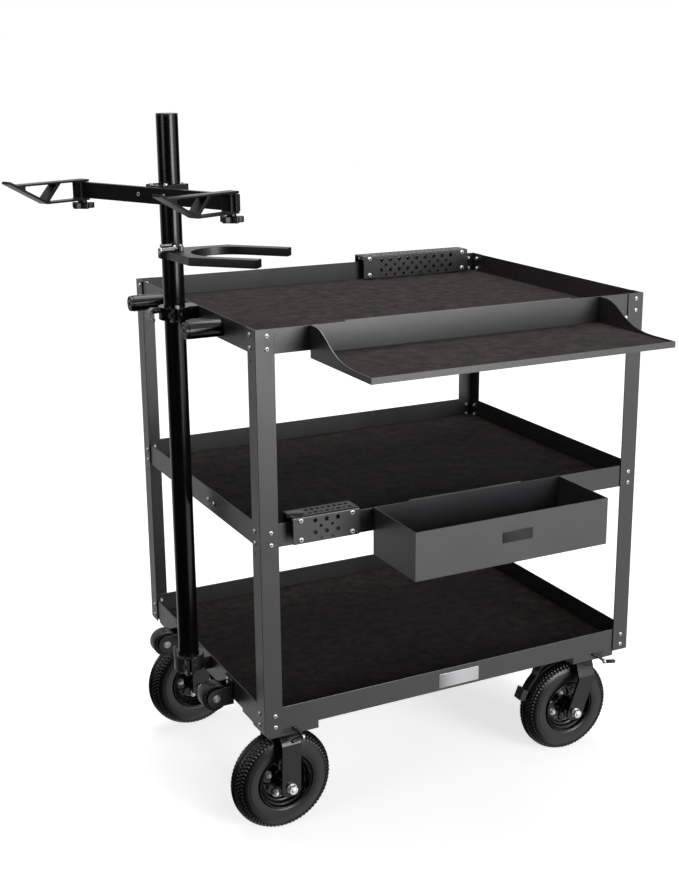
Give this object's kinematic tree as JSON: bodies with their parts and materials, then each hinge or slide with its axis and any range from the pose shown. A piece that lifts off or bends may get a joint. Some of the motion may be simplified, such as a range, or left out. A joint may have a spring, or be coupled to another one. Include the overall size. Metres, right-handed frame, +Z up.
{
  "type": "camera cart",
  "caption": "Tiered sheet-steel trolley with felt-lined trays, swivel casters with air tyres, a clamped pole with truss arms and a fork holder, a hung keyboard shelf and a hung bin.",
  "frame": {"origin": "middle of the underside of the part's box, on the floor that the tyres stand on", "axes": "+Z up, +X along the front from the pole's end to the other end, +Y from the keyboard shelf's side to the back"},
  "size_m": [1.267, 0.9772, 1.485],
  "materials": {
    "powder_coat": "fine-textured satin powder coat, dark warm grey",
    "bin_coat": "fine-textured satin powder coat, slightly lighter and cooler",
    "gloss_black": "smooth gloss black paint",
    "anodised_black": "satin black anodised",
    "felt": "short dark felt",
    "tyre_rubber": "satin black rubber with block tread",
    "roller_rubber": "smooth hard black rubber",
    "zinc_steel": "bright zinc plate",
    "black_plastic": "moulded black plastic with a soft sheen"
  },
  "bodies": {
    "frame": {"post_front_left": "powder_coat", "post_front_right": "powder_coat", "post_back_left": "powder_coat", "post_back_right": "powder_coat", "top_tray": "powder_coat", "middle_tray": "powder_coat", "bottom_tray": "powder_coat", "top_mat": "felt", "middle_mat": "felt", "bottom_mat": "felt", "caster_pad_front_left": "powder_coat", "caster_pad_front_right": "powder_coat", "caster_pad_back_left": "powder_coat", "caster_pad_back_right": "powder_coat", "handle_front": "gloss_black", "handle_back": "gloss_black", "pole_socket": "powder_coat", "pole_clamp": "gloss_black", "roller_bracket_front": "powder_coat", "roller_bracket_back": "powder_coat", "short_bracket": "powder_coat", "long_bracket": "powder_coat"},
    "fork_front_left": {"caster_fork_front_left": "gloss_black", "caster_axle_front_left": "zinc_steel"},
    "fork_front_right": {"caster_fork_front_right": "gloss_black", "caster_axle_front_right": "zinc_steel"},
    "fork_back_left": {"caster_fork_back_left": "gloss_black", "caster_axle_back_left": "zinc_steel"},
    "fork_back_right": {"caster_fork_back_right": "gloss_black", "caster_axle_back_right": "zinc_steel"},
    "wheel_front_left": {"wheel_rim_front_left": "gloss_black", "wheel_tyre_front_left": "tyre_rubber"},
    "wheel_front_right": {"wheel_rim_front_right": "gloss_black", "wheel_tyre_front_right": "tyre_rubber"},
    "wheel_back_left": {"wheel_rim_back_left": "gloss_black", "wheel_tyre_back_left": "tyre_rubber"},
    "wheel_back_right": {"wheel_rim_back_right": "gloss_black", "wheel_tyre_back_right": "tyre_rubber"},
    "pedal_front_right": {"brake_pedal_front_right": "black_plastic"},
    "pedal_back_right": {"brake_pedal_back_right": "black_plastic"},
    "lock_front_left": {"swivel_lock_front_left": "black_plastic"},
    "lock_front_right": {"swivel_lock_front_right": "black_plastic"},
    "lock_back_left": {"swivel_lock_back_left": "black_plastic"},
    "lock_back_right": {"swivel_lock_back_right": "black_plastic"},
    "roller_front": {"lift_roller_front": "roller_rubber"},
    "roller_back": {"lift_roller_back": "roller_rubber"},
    "mast": {"pole": "gloss_black"},
    "bar": {"cross_bar": "anodised_black"},
    "truss_front": {"arm_front": "anodised_black"},
    "truss_back": {"arm_back": "anodised_black"},
    "star_front": {"arm_knob_front": "black_plastic"},
    "star_back": {"arm_knob_back": "black_plastic"},
    "fork_plate": {"fork_holder": "anodised_black"},
    "lever": {"fork_lever": "zinc_steel"},
    "knob": {"clamp_knob": "black_plastic"},
    "shelf": {"keyboard_shelf": "powder_coat", "shelf_mat": "felt"},
    "bin": {"front_bin": "bin_coat"}
  },
  "joints": [
    {"name": "swivel_front_left", "type": "hinge", "parent": "frame", "child": "fork_front_left", "pos_m": [-0.21218, -0.1576, 0.24], "axis": [0, 0, 1], "continuous": true},
    {"name": "swivel_front_right", "type": "hinge", "parent": "frame", "child": "fork_front_right", "pos_m": [0.54402, -0.1576, 0.24], "axis": [0, 0, 1], "continuous": true},
    {"name": "swivel_back_left", "type": "hinge", "parent": "frame", "child": "fork_back_left", "pos_m": [-0.21218, 0.3774, 0.24], "axis": [0, 0, 1], "continuous": true},
    {"name": "swivel_back_right", "type": "hinge", "parent": "frame", "child": "fork_back_right", "pos_m": [0.54402, 0.3774, 0.24], "axis": [0, 0, 1], "continuous": true},
    {"name": "spin_front_left", "type": "hinge", "parent": "fork_front_left", "child": "wheel_front_left", "pos_m": [-0.21418, -0.15763, 0.112], "axis": [0.0175, -0.9998, 0], "continuous": true},
    {"name": "spin_front_right", "type": "hinge", "parent": "fork_front_right", "child": "wheel_front_right", "pos_m": [0.51503, -0.15659, 0.112], "axis": [-0.0349, -0.9994, 0], "continuous": true},
    {"name": "spin_back_left", "type": "hinge", "parent": "fork_back_left", "child": "wheel_back_left", "pos_m": [-0.21418, 0.37733, 0.112], "axis": [0.0349, -0.9994, 0], "continuous": true},
    {"name": "spin_back_right", "type": "hinge", "parent": "fork_back_right", "child": "wheel_back_right", "pos_m": [0.51502, 0.3774, 0.112], "axis": [0, -1, 0], "continuous": true},
    {"name": "brake_front_right", "type": "hinge", "parent": "fork_front_right", "child": "pedal_front_right", "pos_m": [0.48605, -0.15558, 0.235], "axis": [-0.0349, -0.9994, 0], "range_deg": [0, 2]},
    {"name": "brake_back_right", "type": "hinge", "parent": "fork_back_right", "child": "pedal_back_right", "pos_m": [0.48602, 0.3774, 0.235], "axis": [0, -1, 0], "range_deg": [0, 2]},
    {"name": "lock_turn_front_left", "type": "hinge", "parent": "frame", "child": "lock_front_left", "pos_m": [-0.21218, -0.2324, 0.2595], "axis": [0, 1, 0], "range_deg": [0, 25]},
    {"name": "lock_turn_front_right", "type": "hinge", "parent": "frame", "child": "lock_front_right", "pos_m": [0.54402, -0.2324, 0.2595], "axis": [0, 1, 0], "range_deg": [-25, 0]},
    {"name": "lock_turn_back_left", "type": "hinge", "parent": "frame", "child": "lock_back_left", "pos_m": [-0.21218, 0.4522, 0.2595], "axis": [0, 1, 0], "range_deg": [0, 25]},
    {"name": "lock_turn_back_right", "type": "hinge", "parent": "frame", "child": "lock_back_right", "pos_m": [0.54402, 0.4522, 0.2595], "axis": [0, 1, 0], "range_deg": [-25, 0]},
    {"name": "roller_spin_front", "type": "hinge", "parent": "frame", "child": "roller_front", "pos_m": [-0.31698, -0.0421, 0.2755], "axis": [0, 1, 0], "continuous": true},
    {"name": "roller_spin_back", "type": "hinge", "parent": "frame", "child": "roller_back", "pos_m": [-0.31698, 0.2719, 0.2755], "axis": [0, 1, 0], "continuous": true},
    {"name": "pole_turn", "type": "hinge", "parent": "frame", "child": "mast", "pos_m": [-0.32248, 0.0869, 0.5], "axis": [0, 0, 1], "continuous": true},
    {"name": "bar_height", "type": "slide", "parent": "mast", "child": "bar", "axis": [0, 0, 1], "range_m": [-0.055, 0.12]},
    {"name": "arm_front_slide", "type": "slide", "parent": "bar", "child": "truss_front", "axis": [-0.4226, 0.9063, 0], "range_m": [0, 0.135]},
    {"name": "arm_back_slide", "type": "slide", "parent": "bar", "child": "truss_back", "axis": [0.4226, -0.9063, 0], "range_m": [0, 0.135]},
    {"name": "star_turn_front", "type": "hinge", "parent": "truss_front", "child": "star_front", "pos_m": [-0.27479, -0.12423, 1.3], "axis": [0, 0, 1], "continuous": true},
    {"name": "star_turn_back", "type": "hinge", "parent": "truss_back", "child": "star_back", "pos_m": [-0.45356, 0.25914, 1.3], "axis": [0, 0, 1], "continuous": true},
    {"name": "fork_turn", "type": "hinge", "parent": "mast", "child": "fork_plate", "pos_m": [-0.32248, 0.0869, 1.206], "axis": [0, 0, 1], "range_deg": [-90, 90]},
    {"name": "fork_lever_turn", "type": "hinge", "parent": "fork_plate", "child": "lever", "pos_m": [-0.31848, 0.0489, 1.22], "axis": [0, 0, 1], "range_deg": [0, 80]},
    {"name": "clamp_knob_turn", "type": "hinge", "parent": "frame", "child": "knob", "pos_m": [-0.3645, 0.0869, 1.0915], "axis": [1, 0, 0], "continuous": true},
    {"name": "shelf_lift", "type": "slide", "parent": "frame", "child": "shelf", "axis": [0, 0, 1], "range_m": [0, 0.03]},
    {"name": "bin_lift", "type": "slide", "parent": "frame", "child": "bin", "axis": [0, 0, 1], "range_m": [0, 0.03]}
  ]
}
